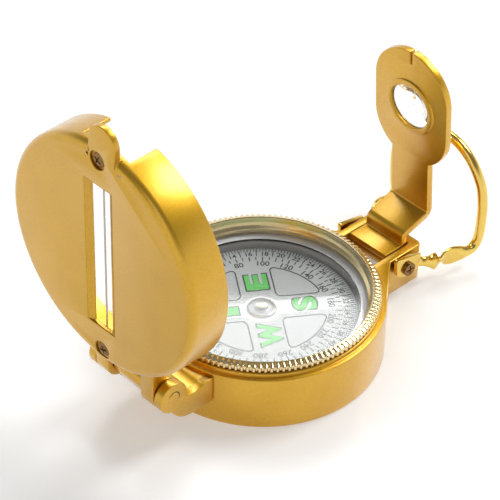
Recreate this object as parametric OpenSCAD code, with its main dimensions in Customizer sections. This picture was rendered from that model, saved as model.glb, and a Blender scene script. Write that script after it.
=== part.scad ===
// Folding lensatic compass: a round case with a turning bezel, a hinged cover with
// a sighting slot and wire, a folding lens arm, and an L-bent thumb loop.
// Millimetres. The origin is the middle of the case's flat base and +Z is up.
// +Y points from the lens arm to the cover hinge. The cover is drawn closed and
// then swung open about its pin.

/* [Case] */
// Outer radius of the case
case_r = 28; // [26:0.5:34]
// Thickness of the case wall round the capsule
case_wall = 3.25; // [2.85:0.05:5.85]
// Height of the case wall up to the cover's seat
case_h = 13.9; // [13:0.1:18]
// Height of the inner lip above the seat
lip_h = 1.0; // [0.6:0.1:1.4]
// Radial thickness of the inner lip
lip_t = 0.6; // [0.4:0.1:0.9]
// Width of the seat that the cover's rim closes on
seat_w = 1.1; // [0.9:0.1:1.5]
// Thickness of the case floor
floor_t = 1.6; // [1:0.1:2.4]
// Round on the lower edge of the case
base_round = 0.8; // [0.3:0.1:1.5]

/* [Capsule] */
// Thickness of the capsule wall
capsule_wall = 2.0; // [1:0.1:2.4]
// Thickness of the capsule floor
capsule_floor = 1.2; // [0.8:0.1:1.8]
// Thickness of the capsule lid
lid_t = 0.8; // [0.6:0.1:1.2]
// Thickness of the capsule gasket
gasket_t = 0.3; // [0.2:0.1:0.5]
// Thickness of the felt pad under the capsule
pad_t = 2.4; // [1:0.1:2.8]
// Distance of the felt pad's edge from the capsule's
pad_in = 3; // [1:0.5:6]

/* [Dial] */
// Room between the dial card and the capsule's wall
dial_side = 1.2; // [0.8:0.1:4]
// Thickness of the dial card
dial_t = 0.25; // [0.2:0.05:0.5]
// Length of the magnet bar
magnet_l = 30; // [20:1:38]
// Width of the magnet bar
magnet_w = 5; // [4:0.5:8]
// Thickness of the magnet bar
magnet_t = 1.2; // [0.8:0.1:1.6]
// Compass bearing of the dial's north mark, clockwise from +Y
north_a = 38.5; // [-180:0.5:180]
// Outer radius of the jewel cup
jewel_r = 1.4; // [1.2:0.1:1.8]
// Radius of the hub dome
dome_r = 2.8; // [2.4:0.1:3.6]
// Radius of the pivot needle
needle_r = 0.5; // [0.4:0.05:0.7]

/* [Bezel] */
// Distance of the bezel's teeth inside the case wall
bezel_in = 1.3; // [1.25:0.05:1.5]
// Number of teeth round the bezel
bezel_teeth = 128; // [60:4:160]
// Depth of a tooth
tooth_d = 0.4; // [0.2:0.05:0.6]
// Height of the toothed band
band_h = 1.15; // [0.9:0.05:1.6]
// Height of the ridge above the toothed band
ridge_h = 0.6; // [0.3:0.05:0.9]
// Distance of the ridge inside the bezel's teeth
ridge_in = 1.7; // [1.4:0.05:1.9]
// Distance of the bezel's window inside its teeth
window_in = 3.1; // [2.9:0.1:4.7]
// Thickness of the crystal
crystal_t = 1.2; // [0.8:0.1:1.4]

/* [Cover hinge] */
// Distance from the case wall to the hinge pin
hinge_out = 9.2; // [8.5:0.1:11]
// Height of the hinge pin above the cover's seat
hinge_up = 0.4; // [0.2:0.1:1]
// Radius of the hinge pin
pin_r = 1.5; // [1.2:0.1:1.8]
// Radius of the hinge ears and lugs
ear_r = 3.8; // [3.3:0.1:4]
// Half width of the hinge
hinge_half = 11.65; // [11:0.05:13]
// Thickness of a case ear
ear_t = 2.3; // [1.8:0.1:3]
// Thickness of a cover lug
lug_t = 4.0; // [3:0.1:4.4]
// Height of the underside of the hinge block
block_z = 6.65; // [5:0.05:8]
// Depth of the hinge block's top below the seat
block_down = 0.9; // [0.6:0.1:1.4]

/* [Cover] */
// Depth of the cover
cover_depth = 9.9; // [9.3:0.1:11]
// Thickness of the cover's wall
cover_wall = 1.0; // [0.8:0.05:1.1]
// Thickness of the cover's face
face_t = 1.3; // [1:0.1:1.8]
// Round on the edge of the cover's face
cover_round = 1.9; // [1.2:0.1:2.2]
// Half width of the sighting slot at the face
slot_half = 4.2; // [3.6:0.1:5]
// Half width of the sighting slot inside
slot_in = 2.75; // [2:0.05:3.4]
// Half length of the sighting slot
slot_l = 18.8; // [15:0.1:20]
// Radius of the sighting wire
wire_r = 0.2; // [0.15:0.05:0.3]
// Distance of the wire screws inside the cover's edge
screw_in = 2.9; // [2.8:0.1:3.4]
// Half width of the thumb tab
tab_half = 4.0; // [3.5:0.1:5.5]
// Place of the thumb tab to one side of the middle plane
tab_side = -1.5; // [-2:0.1:2]
// Reach of the thumb tab past the cover
tab_out = 6.1; // [5:0.1:8]
// Thickness of the thumb tab
tab_t = 1.5; // [1:0.1:1.8]
// Half width of the cut in the wall that the lens arm passes through
cut_half = 6.9; // [6.6:0.1:8]
// Width of the wall left between the cut and the face
cut_left = 2.75; // [1.6:0.05:3]

/* [Rear frame] */
// Half width of the rear frame
frame_half = 8.0; // [7.6:0.1:9]
// Half width of the opening in the rear frame
open_half = 5.9; // [5.8:0.1:6.2]
// Reach of the rear frame past the case
frame_out = 15.9; // [15.5:0.1:18]
// Height of the rear frame
frame_h = 10; // [9.5:0.1:10.2]
// Thickness of the bar at the end of the frame
bar_t = 2.4; // [1.8:0.1:2.8]
// Distance from the case wall to the lens arm's pin
arm_out = 9.6; // [9.4:0.05:9.8]
// Height of the lens arm's pin
arm_up = 6.9; // [6.6:0.1:7]
// Radius of the lens arm's pin
arm_pin_r = 1.0; // [0.8:0.05:1.2]

/* [Lens arm] */
// Thickness of the lens arm
arm_t = 1.8; // [1.4:0.1:2]
// Half width of the shank
shank_half = 5.7; // [5:0.05:5.7]
// Height of the tongue's top above the pin
tongue_up = 3.3; // [2.9:0.1:3.4]
// Reach of the tongue in front of the pin
tongue_out = 3.6; // [3.2:0.1:4]
// Distance from the pin back to the front of the riser
riser_back = 1.7; // [1.4:0.05:1.8]
// Height of the first bend above the pin
riser_up = 6.55; // [6:0.05:7.2]
// Distance from the pin back to the crease
crease_back = 9.9; // [9.6:0.1:10.6]
// Height of the crease above the pin
crease_up = 8.75; // [8.2:0.05:9]
// Forward lean of the lens plate
plate_lean = 3.6; // [3:0.1:4.5]
// Radius of the plate's round ends
head_r = 11; // [9:0.5:12]
// Distance from the crease to the middle of the plate
head_up = 28; // [26:0.5:30]
// Distance between the centres of the plate's round ends
head_gap = 9; // [8:0.5:12]
// Distance from the crease to the lens
lens_up = 28.4; // [26:0.2:31]
// Radius of the lens
lens_r = 6.2; // [5:0.1:7]
// Thickness of the lens
lens_t = 2.6; // [1.6:0.1:3]
// Width of the rim round the lens
rim_w = 0.9; // [0.6:0.1:1.4]
// Height of the rim above the plate
rim_h = 0.5; // [0.3:0.1:0.8]
// Width of the sighting notch
notch_w = 0.65; // [0.4:0.05:1]
// Depth of the sighting notch
notch_d = 3.2; // [2:0.1:5]

/* [Thumb loop] */
// Radius of the loop's wire
loop_r = 1.2; // [1:0.05:1.4]
// Thickness of the flattened ends
loop_tab_t = 1.1; // [0.9:0.05:1.3]
// Distance from the frame to the flattened ends
loop_gap = 0.6; // [0.5:0.05:1]
// Distance from the pin back to the bow
bow_back = 19.9; // [19:0.1:24]
// Half width of the bow
bow_half = 13.9; // [13.6:0.1:17]
// Height of the bow above the pin
bow_up = 24.2; // [21:0.1:28]
// Radius of the loop screws' shanks
loop_screw_r = 1.1; // [0.9:0.05:1.3]

/* [Clearances] */
// Running clearance of a pin or a bearing
run = 0.05; // [0.03:0.01:0.08]
// Clearance of a pressed or glued piece
seat = 0.02; // [0.01:0.01:0.04]
// Side clearance between hinge leaves
side = 0.15; // [0.1:0.01:0.2]
// Clearance between turning or closing faces
gap = 0.25; // [0.2:0.01:0.3]

/* [Hidden] */
$fn = 96;
eps = 0.01;
far = 200;

// Radii, each from the one outside it
bezel_r = case_r - bezel_in;
ridge_r = bezel_r - ridge_in;
window_r = bezel_r - window_in;
pocket_r = case_r - case_wall;
capsule_r = pocket_r - 3 * run;
dial_r = capsule_r - capsule_wall - dial_side;
screw_out = case_r - screw_in;

// Heights of the stack from the floor up to the bezel
rim_z = case_h + gap + 0.08;
lip_z = case_h + lip_h;
lip_r = case_r - seat_w;
mouth_r = lip_r - lip_t;
bezel_z = lip_z + gap;
band_z = bezel_z + band_h;
bezel_top = band_z + ridge_h;
crystal_top = bezel_z - 1.05;
crystal_z = crystal_top - crystal_t;
capsule_top = crystal_z - 0.5;
skirt_z = capsule_top + gap;
capsule_z = floor_t + pad_t;
lid_z = capsule_top - lid_t;
cup_top = lid_z - gasket_t;
cup_floor = capsule_z + capsule_floor;
skirt_r = mouth_r - 3 * run;
crystal_r = window_r + 0.55;
ring_z = skirt_z + 0.55;
ring_h = 0.5;
ring_w = 0.8;

// Dial, hanging on its pivot
dial_gap = 1.35;
dial_top = lid_z - dial_gap;
dial_z = dial_top - dial_t;
jewel_h = 2.1;
jewel_z = dial_z - magnet_t;
jewel_bore = 0.9;
jewel_roof = jewel_z + 1.4;
dome_h = 1.1;
boss_r = 2.2;
boss_h = 0.8;

// Cover hinge
hinge_y = case_r + hinge_out;
hinge_z = case_h + hinge_up;
block_top = case_h - block_down;
ear_x = hinge_half - ear_t;
lug_out = ear_x - side;
lug_in = lug_out - lug_t;
barrel_half = lug_in - 0.2;
barrel_r = pin_r + 0.9;
recess_r = ear_r + 0.3;
cover_open = 90;

// Cover, in its closed place
face_z = rim_z + cover_depth;
cover_in = case_r - cover_wall;
face_in = face_z - face_t;
screw_head_r = 1.7;
screw_recess_r = 2.2;
screw_recess_d = 0.9;
screw_down = 0.15;
screw_shank_r = 0.7;
cross_w = 0.4;
cross_l = 2.0;
cross_d = 0.3;
anchor_t = 1.2;
anchor_half = 2.0;
anchor_in = 2.6;
anchor_out = 1.3;
wire_end = 1.1;
wire_z = face_in - 0.35;

// Rear frame and lens arm
arm_y = -(case_r + arm_out);
frame_end = -(case_r + frame_out);
frame_corner = 1.2;
gusset_y = arm_y + 4.2;
gusset_far = norm([frame_half, gusset_y]);
gusset_a = atan2(gusset_y, frame_half) + acos(case_r / gusset_far);
hub_r = 2.8;
hub_half = 5.3;
washer_t = 0.45;
pin_half = frame_half - 1.0;
lean_v = [sin(plate_lean), cos(plate_lean)];
riser_top = [-riser_back, riser_up];
crease = [-crease_back, crease_up];
shank_l = head_up - head_gap / 2;
bore_r = lens_r + seat;
lens_edge_w = 0.6;
lens_ledge = 0.3;
ring_t = 0.5;

// Thumb loop
loop_x = frame_half + loop_gap;
loop_mid = loop_x + loop_tab_t / 2;
loop_tab_round = 0.5;
loop_head_h = 0.7;
loop_head_r = 1.7;
loop_cross_l = 2.4;
loop_washer_r = 2.0;

gold = [0.83, 0.67, 0.33];
pale_brass = [0.9, 0.83, 0.6];
bright_gold = [0.93, 0.78, 0.38];
bronze = [0.42, 0.3, 0.16];
steel = [0.72, 0.73, 0.75];
clear_plastic = [0.85, 0.9, 0.93, 0.45];
card_white = [0.95, 0.95, 0.94];

// Points of an arc about c, from angle a0 to a1
function arc(c, r, a0, a1, n = 8) =
    [for (i = [0:n]) c + r * [cos(a0 + (a1 - a0) * i / n), sin(a0 + (a1 - a0) * i / n)]];

// Unit vector
function unit(v) = v / norm(v);

// Points of a round of radius r at corner b between a and c
function corner(a, b, c, r, n = 6) =
    let (
        u = unit(a - b),
        v = unit(c - b),
        half = acos(u * v) / 2,
        o = b + unit(u + v) * r / sin(half),
        p = b + u * r / tan(half),
        q = b + v * r / tan(half),
        a0 = atan2(p.y - o.y, p.x - o.x),
        a1 = atan2(q.y - o.y, q.x - o.x),
        turn = a1 - a0 > 180 ? a1 - a0 - 360 : (a1 - a0 < -180 ? a1 - a0 + 360 : a1 - a0)
    ) arc(o, r, a0, a0 + turn, n);

// Where the lines p + s*u and q + t*v cross
function cross_point(p, u, q, v) =
    let (w = q - p, det = u.x * v.y - u.y * v.x) p + u * (w.x * v.y - w.y * v.x) / det;

// A quarter turn to the left
function left(v) = [-v.y, v.x];

// Extrudes an outline in the YZ plane along X
module across(x0, x1) {
    translate([x0, 0, 0]) rotate([90, 0, 90]) linear_extrude(x1 - x0) children();
}

// A round bar along X about the point (y, z)
module rod_x(y, z, r, x0, x1) {
    translate([x0, y, z]) rotate([0, 90, 0]) cylinder(h = x1 - x0, r = r);
}

// Draws the children on both sides of the middle plane
module both_sides() {
    children();
    mirror([1, 0, 0]) children();
}

// Swings the closed cover open about its pin
module opened() {
    translate([0, hinge_y, hinge_z]) rotate([-cover_open, 0, 0])
        translate([0, -hinge_y, -hinge_z]) children();
}

// The lens plate's own plane: X across, Y up the plate, Z towards its back
module on_plate() {
    translate([0, arm_y - crease_back, arm_up + crease_up])
        rotate([90 - plate_lean, 0, 0]) children();
}

// Turns the children to the dial's rest bearing
module on_bearing() {
    rotate([0, 0, -north_a]) children();
}

// Outside of the case, turned
module case_turning() {
    rotate_extrude() polygon(concat(
        [[0, 0]],
        arc([case_r - base_round, base_round], base_round, -90, 0),
        [[case_r, case_h], [case_r - 0.35, case_h + 0.12], [lip_r, case_h + 0.16]],
        arc([lip_r - 0.35, lip_z - 0.45], 0.45, 20, 90, 5),
        [[mouth_r - 0.5, lip_z], [0, lip_z]]
    ));
}

// Front hinge block with its ears, before the recesses are cut
module hinge_block() {
    across(-hinge_half, hinge_half) polygon(concat(
        [[case_r - 8, block_z]],
        arc([hinge_y - 5.4, block_z + 6.4], 6.4, -90, -24.6),
        [[hinge_y, hinge_z], [hinge_y - 3, block_top], [case_r - 8, block_top]]
    ));
    both_sides() rod_x(hinge_y, hinge_z, ear_r, ear_x, hinge_half);
}

// Room for the cover's lugs and for the cover's rim behind them
module hinge_recess() {
    rod_x(hinge_y, hinge_z, recess_r, -ear_x, ear_x);
    scoop = 6.2;
    rod_x(case_r + 2.8, block_top + scoop - 0.55, scoop, -far, far);
    difference() {
        translate([0, case_r - 20.4, block_top - 1.4]) cylinder(h = 6, r = 20);
        translate([0, 0, -1]) cylinder(h = far, r = lip_r);
    }
}

// Barrel between the lugs, on its web, which runs down into the block's round
module hinge_barrel() {
    rod_x(hinge_y, hinge_z, barrel_r, -barrel_half, barrel_half);
    across(-barrel_half, barrel_half) polygon(concat(
        [[case_r, block_z + 1]],
        arc([hinge_y - 5.4, block_z + 6.4], 6.4, -70, -24.6),
        arc([hinge_y, hinge_z], barrel_r, -31, 0, 3),
        [[hinge_y, hinge_z], [case_r, block_top - 1]]
    ));
    translate([-barrel_half, hinge_y - recess_r - 0.4, hinge_z - barrel_r])
        cube([2 * barrel_half, recess_r + 0.4, barrel_r]);
}

// Open frame behind the case, with its gussets
module rear_frame() {
    depth = frame_h;
    difference() {
        union() {
            translate([-frame_half, frame_end + frame_corner, 0])
                cube([2 * frame_half, frame_out + 8, depth]);
            translate([-frame_half + frame_corner, frame_end, 0])
                cube([2 * (frame_half - frame_corner), 8, depth]);
            both_sides() translate([frame_half - frame_corner, frame_end + frame_corner, 0])
                cylinder(h = depth, r = frame_corner);
            both_sides() linear_extrude(depth) polygon([
                [0, gusset_y], [frame_half, gusset_y],
                case_r * [cos(gusset_a), sin(gusset_a)], [0, -case_r / 2]
            ]);
        }
        translate([-open_half, frame_end + bar_t, -1])
            cube([2 * open_half, frame_out + 6, depth + 2]);
    }
}

// Room inside the case for the capsule, the bezel and its retaining ring
module case_pocket() {
    translate([0, 0, floor_t]) cylinder(h = far, r = pocket_r);
    translate([0, 0, capsule_top]) cylinder(h = far, r = mouth_r);
    translate([0, 0, ring_z - run]) cylinder(h = ring_h + 2 * run, r = mouth_r + 0.45);
}

module case_body() {
    color(gold) difference() {
        union() {
            difference() {
                union() {
                    case_turning();
                    hinge_block();
                }
                hinge_recess();
            }
            hinge_barrel();
            rear_frame();
        }
        case_pocket();
        rod_x(hinge_y, hinge_z, pin_r + seat, -far, far);
        rod_x(arm_y, arm_up, arm_pin_r + seat, -pin_half, pin_half);
        both_sides() rod_x(arm_y, arm_up, loop_screw_r - 0.2 + seat, pin_half - eps, far);
    }
}

module capsule_pad() {
    color(bronze) translate([0, 0, floor_t]) cylinder(h = pad_t, r = capsule_r - pad_in);
}

module capsule_cup() {
    inner = capsule_r - capsule_wall;
    color(clear_plastic) difference() {
        translate([0, 0, capsule_z]) cylinder(h = cup_top - capsule_z, r = capsule_r);
        difference() {
            translate([0, 0, cup_floor]) cylinder(h = far, r = inner);
            cylinder(h = cup_floor + boss_h, r = boss_r);
        }
        translate([0, 0, capsule_z + 0.5]) cylinder(h = far, r = needle_r + seat);
    }
}

module capsule_gasket() {
    color(bronze) translate([0, 0, cup_top]) difference() {
        cylinder(h = gasket_t, r = capsule_r - 0.3);
        translate([0, 0, -1]) cylinder(h = 2, r = capsule_r - capsule_wall + 0.3);
    }
}

module capsule_lid() {
    color(clear_plastic) translate([0, 0, lid_z]) cylinder(h = lid_t, r = capsule_r);
}

module pivot_needle() {
    tip = jewel_roof - 0.15;
    color(steel) rotate_extrude() polygon([
        [0, capsule_z + 0.5], [needle_r, capsule_z + 0.5], [needle_r, tip - 1.4],
        [0.08, tip - 0.06], [0, tip]
    ]);
}

module bezel_spring() {
    color(steel) translate([0, 0, ring_z]) rotate([0, 0, 186])
        rotate_extrude(angle = 348) translate([mouth_r + 0.4 - ring_w, 0])
            square([ring_w, ring_h]);
}

module cover_hinge_pin() {
    color(gold) rod_x(hinge_y, hinge_z, pin_r, -hinge_half, hinge_half);
}

module arm_pin() {
    color(steel) rod_x(arm_y, arm_up, arm_pin_r, -pin_half + run, pin_half - run);
}

// Spring washers between the arm's hub and the frame
module arm_washers() {
    color(steel) both_sides() difference() {
        rod_x(arm_y, arm_up, hub_r - 0.5, open_half - run - washer_t, open_half - run);
        rod_x(arm_y, arm_up, arm_pin_r + run, 0, far);
    }
}

// Cross slot of a screw head, upwards from its bottom
module cross_slot(reach) {
    translate([-reach / 2, -cross_w / 2, 0]) cube([reach, cross_w, 1]);
    translate([-cross_w / 2, -reach / 2, 0]) cube([cross_w, reach, 1]);
}

// Shouldered screws that the thumb loop turns on
module loop_screws() {
    head_x = loop_x + loop_tab_t + run;
    color(bronze) both_sides() difference() {
        union() {
            rod_x(arm_y, arm_up, loop_screw_r - 0.2, pin_half + run, frame_half);
            rod_x(arm_y, arm_up, loop_screw_r, frame_half, head_x);
            rod_x(arm_y, arm_up, loop_head_r, head_x, head_x + loop_head_h);
        }
        translate([head_x + loop_head_h - cross_d, arm_y, arm_up]) rotate([0, 90, 0])
            cross_slot(loop_cross_l);
    }
}

module loop_washers() {
    color(bronze) both_sides() difference() {
        rod_x(arm_y, arm_up, loop_washer_r, frame_half, loop_x - run);
        rod_x(arm_y, arm_up, loop_screw_r + run, 0, far);
    }
}

// Outline of the toothed band: rounded teeth as a sine wave
function tooth_outline() =
    let (n = bezel_teeth * 4)
    [for (i = [0:n - 1])
        let (a = 360 * i / n, r = bezel_r - tooth_d * (0.5 - 0.5 * cos(360 * i / 4)))
        r * [cos(a), sin(a)]];

module bezel_ring() {
    core_r = bezel_r - tooth_d - 0.1;
    color(pale_brass) difference() {
        union() {
            rotate_extrude() polygon([
                [crystal_r + seat, skirt_z], [skirt_r, skirt_z], [skirt_r, bezel_z],
                [core_r, bezel_z], [core_r, band_z], [ridge_r, bezel_top],
                [ridge_r - 0.3, bezel_top - 0.2], [window_r + 0.9, bezel_z + 0.45],
                [window_r + 0.7, bezel_z - 0.25], [window_r + 0.1, bezel_z - 0.85],
                [window_r, crystal_top], [crystal_r + seat, crystal_top]
            ]);
            difference() {
                translate([0, 0, bezel_z]) linear_extrude(band_h) polygon(tooth_outline());
                translate([0, 0, bezel_z - 1]) cylinder(h = far, r = core_r - 0.3);
            }
        }
        difference() {
            translate([0, 0, ring_z - gap]) cylinder(h = ring_h + 2 * gap, r = skirt_r + 1);
            translate([0, 0, ring_z - 1]) cylinder(h = 3, r = mouth_r + 0.4 - ring_w - gap);
        }
    }
}

module crystal() {
    color(clear_plastic) translate([0, 0, crystal_z]) cylinder(h = crystal_t, r = crystal_r);
}

module dial_card() {
    color(card_white) difference() {
        translate([0, 0, dial_z]) cylinder(h = dial_t, r = dial_r);
        cylinder(h = far, r = jewel_r + seat);
    }
}

module magnet_bar() {
    color(steel) on_bearing() difference() {
        translate([-magnet_w / 2, -magnet_l / 2, jewel_z]) cube([magnet_w, magnet_l, magnet_t]);
        cylinder(h = far, r = jewel_r + seat);
    }
}

module jewel_cup() {
    color(pale_brass) difference() {
        translate([0, 0, jewel_z]) cylinder(h = jewel_h, r = jewel_r);
        translate([0, 0, jewel_z - 1]) cylinder(h = jewel_roof - jewel_z + 1, r = jewel_bore);
    }
}

module hub_dome() {
    ball = (dome_r * dome_r + dome_h * dome_h) / (2 * dome_h);
    color(clear_plastic) difference() {
        intersection() {
            translate([0, 0, dial_top + dome_h - ball]) sphere(r = ball);
            translate([0, 0, dial_top]) cylinder(h = dome_h, r = dome_r);
        }
        cylinder(h = jewel_z + jewel_h + run, r = jewel_r + run);
    }
}

// Dish of the closed cover, turned
module cover_dish() {
    inner_round = cover_round - 1.5;
    rotate_extrude() polygon(concat(
        [[cover_in, rim_z], [case_r, rim_z]],
        arc([case_r - cover_round, face_z - cover_round], cover_round, 0, 90),
        [[0, face_z], [0, face_in]],
        arc([cover_in - inner_round, face_in - inner_round], inner_round, 90, 0, 5)
    ));
}

// Lugs of the closed cover, with their legs up to its wall
module cover_lugs() {
    both_sides() difference() {
        union() {
            rod_x(hinge_y, hinge_z, ear_r, lug_in, lug_out);
            translate([lug_in, 0, rim_z])
                cube([lug_t, hinge_y, hinge_z + ear_r - rim_z]);
        }
        translate([0, 0, -1]) cylinder(h = far, r = case_r - cover_wall / 2);
    }
}

// Flat tab that a thumb lifts the cover by
module thumb_tab() {
    end_y = -(case_r + tab_out - tab_half);
    difference() {
        translate([tab_side, end_y, face_z - tab_t]) {
            cylinder(h = tab_t, r = tab_half);
            translate([-tab_half, 0, 0]) cube([2 * tab_half, -end_y - case_r + 4, tab_t]);
        }
        cylinder(h = face_in, r = cover_in);
    }
}

// Sighting slot with bevelled sides
module sight_slot() {
    deep = face_t * 0.6;
    translate([0, slot_l, 0]) rotate([90, 0, 0]) linear_extrude(2 * slot_l) polygon([
        [-slot_in, face_in - 1], [slot_in, face_in - 1], [slot_in, face_z - deep],
        [slot_half, face_z - 0.2], [slot_half, face_z + 1], [-slot_half, face_z + 1],
        [-slot_half, face_z - 0.2], [-slot_in, face_z - deep]
    ]);
}

module cover_shell() {
    color(gold) opened() difference() {
        union() {
            cover_dish();
            cover_lugs();
            thumb_tab();
        }
        sight_slot();
        translate([-cut_half, -far, 0]) cube([2 * cut_half, far - case_r / 2, face_z - cut_left]);
        for (s = [-1, 1]) translate([0, s * screw_out, 0]) {
            cylinder(h = far, r = screw_shank_r + seat);
            translate([0, 0, face_z - screw_recess_d]) cylinder(h = 2, r = screw_recess_r);
        }
        rod_x(hinge_y, hinge_z, pin_r + run, -far, far);
    }
}

module sight_wire() {
    reach = screw_out - wire_end;
    color(steel) opened() translate([0, reach, wire_z]) rotate([90, 0, 0])
        cylinder(h = 2 * reach, r = wire_r);
}

// Brass plates inside the cover that the screws clamp the wire with
module wire_anchors() {
    color(pale_brass) opened() for (s = [-1, 1]) difference() {
        translate([-anchor_half, s > 0 ? screw_out - anchor_in : -screw_out - anchor_out,
            face_in - anchor_t]) cube([2 * anchor_half, anchor_in + anchor_out, anchor_t]);
        translate([0, s * screw_out, 0]) cylinder(h = far, r = screw_shank_r + seat);
        translate([0, s * screw_out, wire_z]) rotate([s * 90, 0, 0])
            cylinder(h = anchor_in + 1, r = wire_r + seat);
    }
}

module cover_screws() {
    color(bronze) opened() for (s = [-1, 1]) translate([0, s * screw_out, 0]) difference() {
        union() {
            translate([0, 0, face_z - screw_recess_d])
                cylinder(h = screw_recess_d - screw_down, r = screw_head_r);
            translate([0, 0, face_in - anchor_t])
                cylinder(h = anchor_t + face_t - screw_recess_d, r = screw_shank_r);
        }
        translate([0, 0, face_z - screw_down - cross_d]) cross_slot(cross_l);
    }
}

// Side outline of the bent strip, from the tongue up past the crease
function strip_outline() =
    let (
        slope = unit(crease - riser_top),
        up = crease + lean_v * (shank_l - 4),
        foot = [-riser_back, 0],
        back_0 = foot + [-arm_t, 0],
        back_1 = cross_point(back_0, [0, 1], riser_top + left(slope) * arm_t, slope),
        back_2 = cross_point(back_1, slope, crease + left(lean_v) * arm_t, lean_v),
        back_3 = up + left(lean_v) * arm_t
    )
    concat(
        [foot],
        corner(foot, riser_top, crease, 2.0),
        corner(riser_top, crease, up, 0.5),
        [up, back_3],
        corner(back_3, back_2, back_1, 2.6),
        corner(back_2, back_1, back_0, 0.3),
        [back_0]
    );

// Tongue with its hub, between the frame's walls
module arm_tongue() {
    across(-shank_half, shank_half) polygon([
        [-riser_back - arm_t, 0], [-riser_back, 0], [tongue_out, tongue_up - 1.5],
        [tongue_out, tongue_up], [-riser_back - arm_t, tongue_up]
    ]);
    rod_x(0, 0, hub_r, -hub_half, hub_half);
}

// Lens plate with its rim, in its own plane
module lens_plate() {
    linear_extrude(arm_t) {
        translate([0, shank_l]) circle(r = head_r);
        translate([0, shank_l + head_gap]) circle(r = head_r);
        translate([-head_r, shank_l]) square([2 * head_r, head_gap]);
        translate([-shank_half, shank_l - 6]) square([2 * shank_half, 6]);
    }
    translate([0, lens_up, -rim_h]) cylinder(h = rim_h, r = lens_r + rim_w);
}

module lens_arm() {
    top = shank_l + head_gap + head_r;
    color(gold) difference() {
        union() {
            translate([0, arm_y, arm_up]) {
                across(-shank_half, shank_half) polygon(strip_outline());
                arm_tongue();
            }
            on_plate() lens_plate();
        }
        rod_x(arm_y, arm_up, arm_pin_r + run, -far, far);
        both_sides() difference() {
            rod_x(arm_y, arm_up, hub_r + 0.6, hub_half, far);
            translate([0, arm_y - 10, arm_up + tongue_up - 0.6]) cube([far, 20, 10]);
        }
        on_plate() {
            translate([0, lens_up, -1]) cylinder(h = 4, r = lens_r - lens_edge_w + run);
            translate([0, lens_up, lens_ledge]) cylinder(h = 4, r = bore_r);
            translate([-notch_w / 2, top - notch_d, -1]) cube([notch_w, notch_d + 1, 4]);
        }
    }
}

// Bulging face of the lens, from a plane
module lens_cap(bulge) {
    foot = lens_r - lens_edge_w;
    ball = (foot * foot + bulge * bulge) / (2 * bulge);
    intersection() {
        translate([0, 0, bulge - ball]) sphere(r = ball, $fn = 192);
        cylinder(h = bulge, r = lens_r);
    }
}

// Double convex lens with a flat border and a straight edge
module lens() {
    edge = arm_t - lens_ledge - ring_t - 0.1;
    bulge = (lens_t - edge) / 2;
    color(clear_plastic) on_plate() translate([0, lens_up, lens_ledge]) {
        cylinder(h = edge, r = lens_r);
        translate([0, 0, edge]) lens_cap(bulge);
        mirror([0, 0, 1]) lens_cap(bulge);
    }
}

// Snap ring that holds the lens from behind
module lens_ring() {
    color(pale_brass) on_plate() translate([0, lens_up, arm_t - ring_t - 0.1]) difference() {
        cylinder(h = ring_t, r = lens_r);
        translate([0, 0, -1]) cylinder(h = 3, r = lens_r - lens_edge_w + run);
    }
}

// Middle line of one half of the loop, with the section's two half sizes
loop_half_path = [
    [[loop_mid, -2.6, -0.3], loop_tab_t / 2 - 0.05, loop_r],
    [[loop_mid + 0.15, -4.3, -0.6], loop_tab_t / 2, loop_r - 0.05],
    [[loop_mid + 0.6, -5.6, -1.0], loop_r - 0.4, loop_r - 0.05],
    [[bow_half - 3.9, 12.6 - bow_back, -1.8], loop_r - 0.3, loop_r + 0.3],
    [[bow_half - 3.3, 11.2 - bow_back, -2.1], loop_r - 0.4, loop_r + 1.1],
    [[bow_half - 2.5, 9.7 - bow_back, -1.7], loop_r / 2, loop_r + 1.5],
    [[bow_half - 1.9, 7.95 - bow_back, -1.5], loop_r / 2 + 0.1, loop_r + 1.3],
    [[bow_half - 1.3, 5.85 - bow_back, -1.6], loop_r - 0.3, loop_r + 0.7],
    [[bow_half - 0.9, 3.8 - bow_back, -2.0], loop_r - 0.1, loop_r + 0.2],
    [[bow_half - 0.8, 1.6 - bow_back, -2.0], loop_r, loop_r],
    [[bow_half - 0.7, 0.1 - bow_back, -0.5], loop_r, loop_r],
    [[bow_half - 0.2, -bow_back, 2.5], loop_r, loop_r],
    [[bow_half, -bow_back, 6.5], loop_r, loop_r],
    [[bow_half, -bow_back, bow_up - 14.2], loop_r, loop_r],
    [[bow_half - 0.6, -bow_back, bow_up - 10], loop_r, loop_r],
    [[bow_half - 1.7, -bow_back, bow_up - 7.3], loop_r, loop_r],
    [[bow_half - 3.8, -bow_back, bow_up - 4.2], loop_r, loop_r],
    [[bow_half - 6.5, -bow_back, bow_up - 1.9], loop_r, loop_r],
    [[bow_half / 3.2, -bow_back, bow_up - 0.5], loop_r, loop_r]
];

// Side outline of a flattened end, about the pin
loop_tab_outline = [
    [-4.4, 2.1], [-1.3, 2.9], [3.8, 4.0], [3.5, -0.7], [0.7, -2.3], [-3.7, -2.1]
];

function mirrored_x(p) = [-p.x, p.y, p.z];

// Whole middle line, from one flattened end over the bow to the other
loop_path = concat(
    loop_half_path,
    [[[0, -bow_back, bow_up], loop_r, loop_r]],
    [for (i = [len(loop_half_path) - 1:-1:0])
        [mirrored_x(loop_half_path[i][0]), loop_half_path[i][1], loop_half_path[i][2]]]
);

// Smooth value between b and c, for values spaced evenly at a, b, c and d
function smooth(a, b, c, d, t) =
    b + 0.5 * t * (c - a + t * (2 * a - 5 * b + 4 * c - d + t * (3 * (b - c) + d - a)));

function path_item(path, i) = path[min(max(i, 0), len(path) - 1)];

// The path with extra points put in smoothly
function refined(path, n) =
    [for (i = [0:len(path) - 2]) for (k = [0:n - 1])
        let (a = path_item(path, i - 1), b = path[i], c = path[i + 1],
            d = path_item(path, i + 2), t = k / n)
        [for (j = [0:2]) smooth(a[j], b[j], c[j], d[j], t)]];

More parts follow.
